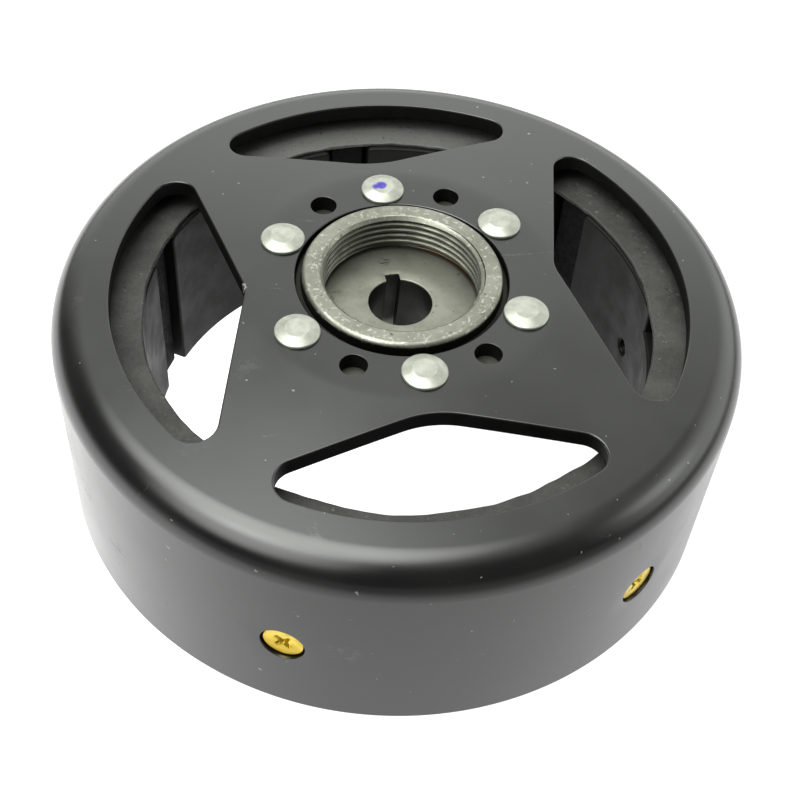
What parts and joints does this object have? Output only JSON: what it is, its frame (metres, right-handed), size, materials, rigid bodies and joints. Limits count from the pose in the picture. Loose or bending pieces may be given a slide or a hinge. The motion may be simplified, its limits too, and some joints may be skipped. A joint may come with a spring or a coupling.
{
  "type": "flywheel",
  "caption": "Cup-shaped outer-rotor magneto flywheel with a riveted hub, tapered keyed bore, windows in its face, and magnets and screwed pole shoes inside its wall.",
  "frame": {"origin": "on the crank axis, in the plane of the open rim", "axes": "+Z along the crank axis out through the puller thread; +Y through one hub rivet; +X through the middle of a large window"},
  "size_m": [0.14, 0.14, 0.0528],
  "materials": {
    "cup_paint": "satin black paint on drawn steel, lightly scuffed",
    "hub_steel": "turned steel, bare, slightly tarnished",
    "rivet_steel": "pale zinc-plated steel, satin",
    "cage_casting": "rough as-cast grey",
    "magnet_ferrite": "dark sintered ferrite, matt",
    "pole_steel": "dark steel, smooth ground face",
    "screw_zinc": "yellow zinc-plated steel"
  },
  "bodies": {
    "root": {"rotor_cup": "cup_paint", "hub": "hub_steel", "hub_rivet_1": "rivet_steel", "hub_rivet_2": "rivet_steel", "hub_rivet_3": "rivet_steel", "hub_rivet_4": "rivet_steel", "hub_rivet_5": "rivet_steel", "hub_rivet_6": "rivet_steel", "magnet_cage": "cage_casting", "magnet_1": "magnet_ferrite", "magnet_2": "magnet_ferrite", "magnet_3": "magnet_ferrite", "magnet_4": "magnet_ferrite", "magnet_5": "magnet_ferrite", "magnet_6": "magnet_ferrite", "pole_shoe_1": "pole_steel", "pole_shoe_2": "pole_steel", "pole_shoe_3": "pole_steel", "pole_shoe_4": "pole_steel", "pole_shoe_5": "pole_steel", "pole_shoe_6": "pole_steel", "pole_screw_1": "screw_zinc", "pole_screw_2": "screw_zinc", "pole_screw_3": "screw_zinc", "pole_screw_4": "screw_zinc", "pole_screw_5": "screw_zinc", "pole_screw_6": "screw_zinc"}
  },
  "joints": []
}
